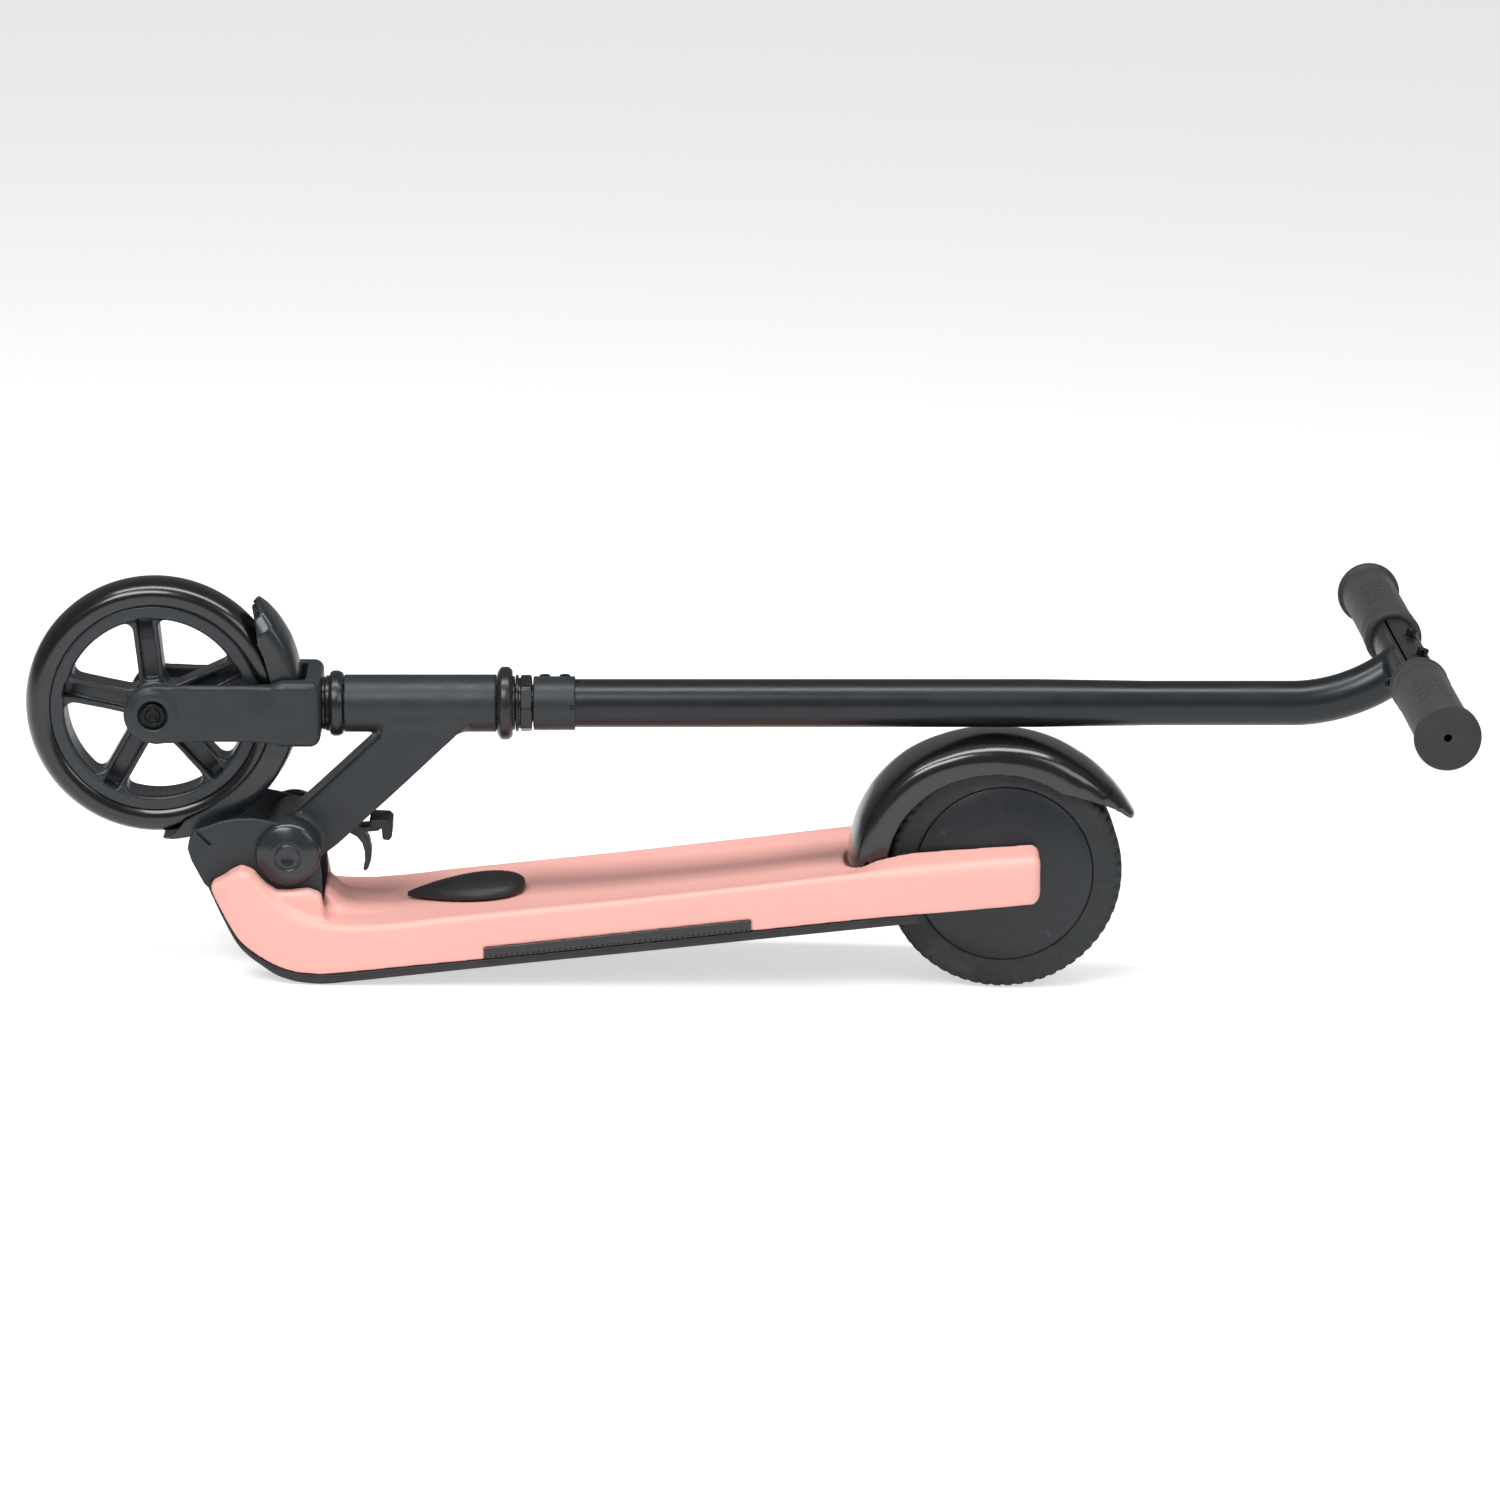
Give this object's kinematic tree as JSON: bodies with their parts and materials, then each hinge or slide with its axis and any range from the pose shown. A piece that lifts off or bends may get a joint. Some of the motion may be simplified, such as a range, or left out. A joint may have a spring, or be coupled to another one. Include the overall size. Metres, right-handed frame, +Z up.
{
  "type": "electric kick scooter",
  "caption": "Folding electric kick scooter for a child, shown folded, with a wide deck, rear hub motor wheel, spoked front wheel, fenders and a T-shaped handlebar.",
  "frame": {"origin": "middle of the folded scooter's footprint: half way along its length, on the middle plane, on the floor plane under the rear tyre", "axes": "+X from the fold hinge towards the rear wheel, +Y to the side away from the camera, +Z up; the folded stem lies along +X"},
  "size_m": [0.8256, 0.366, 0.2433],
  "materials": {
    "pink_shell": "satin moulded",
    "deck_pan": "fine grain moulded",
    "light_lens": "smooth dark lens",
    "charcoal_metal": "semi-gloss powder coat",
    "stem_metal": "semi-gloss paint",
    "steel": "zinc plated",
    "black_steel": "black oxide",
    "gloss_black": "high gloss",
    "black_rubber": "matte",
    "copper": "varnished winding",
    "hub_grey": "satin",
    "rear_tyre": "solid rubber, matte",
    "front_tyre": "glossy urethane",
    "rim": "satin moulded",
    "grip": "matte",
    "battery": "shrink wrap",
    "board": "solder mask"
  },
  "bodies": {
    "deck": {"deck_shell": "pink_shell", "deck_pan": "deck_pan", "light_strip_left": "light_lens", "light_strip_right": "light_lens", "fold_cheek_left": "charcoal_metal", "fold_cheek_right": "charcoal_metal", "pivot_cap_left": "charcoal_metal", "pivot_cap_right": "charcoal_metal", "fold_hinge_pin": "steel", "battery_pack": "battery", "control_board": "board", "foot_sensor": "black_steel", "charge_port": "black_steel", "rear_axle": "steel", "motor_stator": "copper", "rear_fender_pin": "steel"},
    "neck": {"neck_frame": "charcoal_metal", "headset_cup_lower": "black_steel", "headset_cup_upper": "black_steel", "headset_bearing_lower": "steel", "headset_bearing_upper": "steel", "latch_pin": "steel"},
    "latch": {"latch_lever": "charcoal_metal", "latch_thumb_pad": "black_rubber"},
    "steering": {"fork": "charcoal_metal", "front_axle_bolt": "black_steel", "front_axle_nut": "steel", "front_spacer_left": "steel", "front_spacer_right": "steel", "crown_race": "black_steel", "steerer_tube": "steel", "headset_lock_ring": "black_steel", "stem_tube": "stem_metal", "stem_clamp_collar": "charcoal_metal", "collar_screw_1": "black_steel", "collar_screw_2": "black_steel", "crossbar": "stem_metal", "bar_screw_1": "black_steel", "bar_screw_2": "black_steel", "bar_screw_3": "black_steel", "grip_left": "grip", "grip_right": "grip", "front_fender": "gloss_black"},
    "front_wheel": {"front_rim": "rim", "front_tyre": "front_tyre", "front_bearing_left": "steel", "front_bearing_right": "steel"},
    "rear_wheel": {"hub_shell": "hub_grey", "hub_cover_left": "hub_grey", "hub_cover_right": "hub_grey", "rear_bearing_left": "steel", "rear_bearing_right": "steel", "rear_tyre": "rear_tyre"},
    "rear_fender": {"rear_fender": "gloss_black", "brake_pad": "black_rubber"},
    "foot_pad": {"foot_pad": "black_rubber"},
    "power_button": {"power_button": "gloss_black"},
    "charge_cap": {"charge_cap": "black_rubber"}
  },
  "joints": [
    {"name": "stem_fold", "type": "hinge", "parent": "deck", "child": "neck", "pos_m": [-0.25925, 0, 0.0865], "axis": [0, -1, 0], "range_deg": [0, 80]},
    {"name": "latch_release", "type": "hinge", "parent": "neck", "child": "latch", "pos_m": [-0.22625, 0, 0.098], "axis": [0, -1, 0], "range_deg": [0, 6], "stiffness_Nm_per_rad": 2, "springref_deg": -5.73},
    {"name": "steering_turn", "type": "hinge", "parent": "neck", "child": "steering", "pos_m": [-0.18325, 0, 0.1675], "axis": [1, 0, 0], "range_deg": [-10, 10]},
    {"name": "front_wheel_spin", "type": "hinge", "parent": "steering", "child": "front_wheel", "pos_m": [-0.33675, 0, 0.1675], "axis": [0, 1, 0], "continuous": true},
    {"name": "rear_wheel_spin", "type": "hinge", "parent": "deck", "child": "rear_wheel", "pos_m": [0.15875, 0, 0.0698], "axis": [0, 1, 0], "continuous": true},
    {"name": "fender_brake", "type": "hinge", "parent": "deck", "child": "rear_fender", "pos_m": [0.07975, 0, 0.0755], "axis": [0, 1, 0], "range_deg": [0, 2], "stiffness_Nm_per_rad": 20, "springref_deg": -2.86},
    {"name": "foot_pad_press", "type": "slide", "parent": "deck", "child": "foot_pad", "axis": [0.0872, 0, -0.9962], "range_m": [0, 0.0006], "stiffness_N_per_m": 3000, "springref_m": -0.001},
    {"name": "power_button_press", "type": "slide", "parent": "deck", "child": "power_button", "axis": [0, -1, 0], "range_m": [0, 0.001], "stiffness_N_per_m": 800, "springref_m": -0.001},
    {"name": "charge_cap_swing", "type": "hinge", "parent": "deck", "child": "charge_cap", "pos_m": [-0.17125, 0.0582, 0.0455], "axis": [1, 0, 0], "range_deg": [0, 110]}
  ]
}
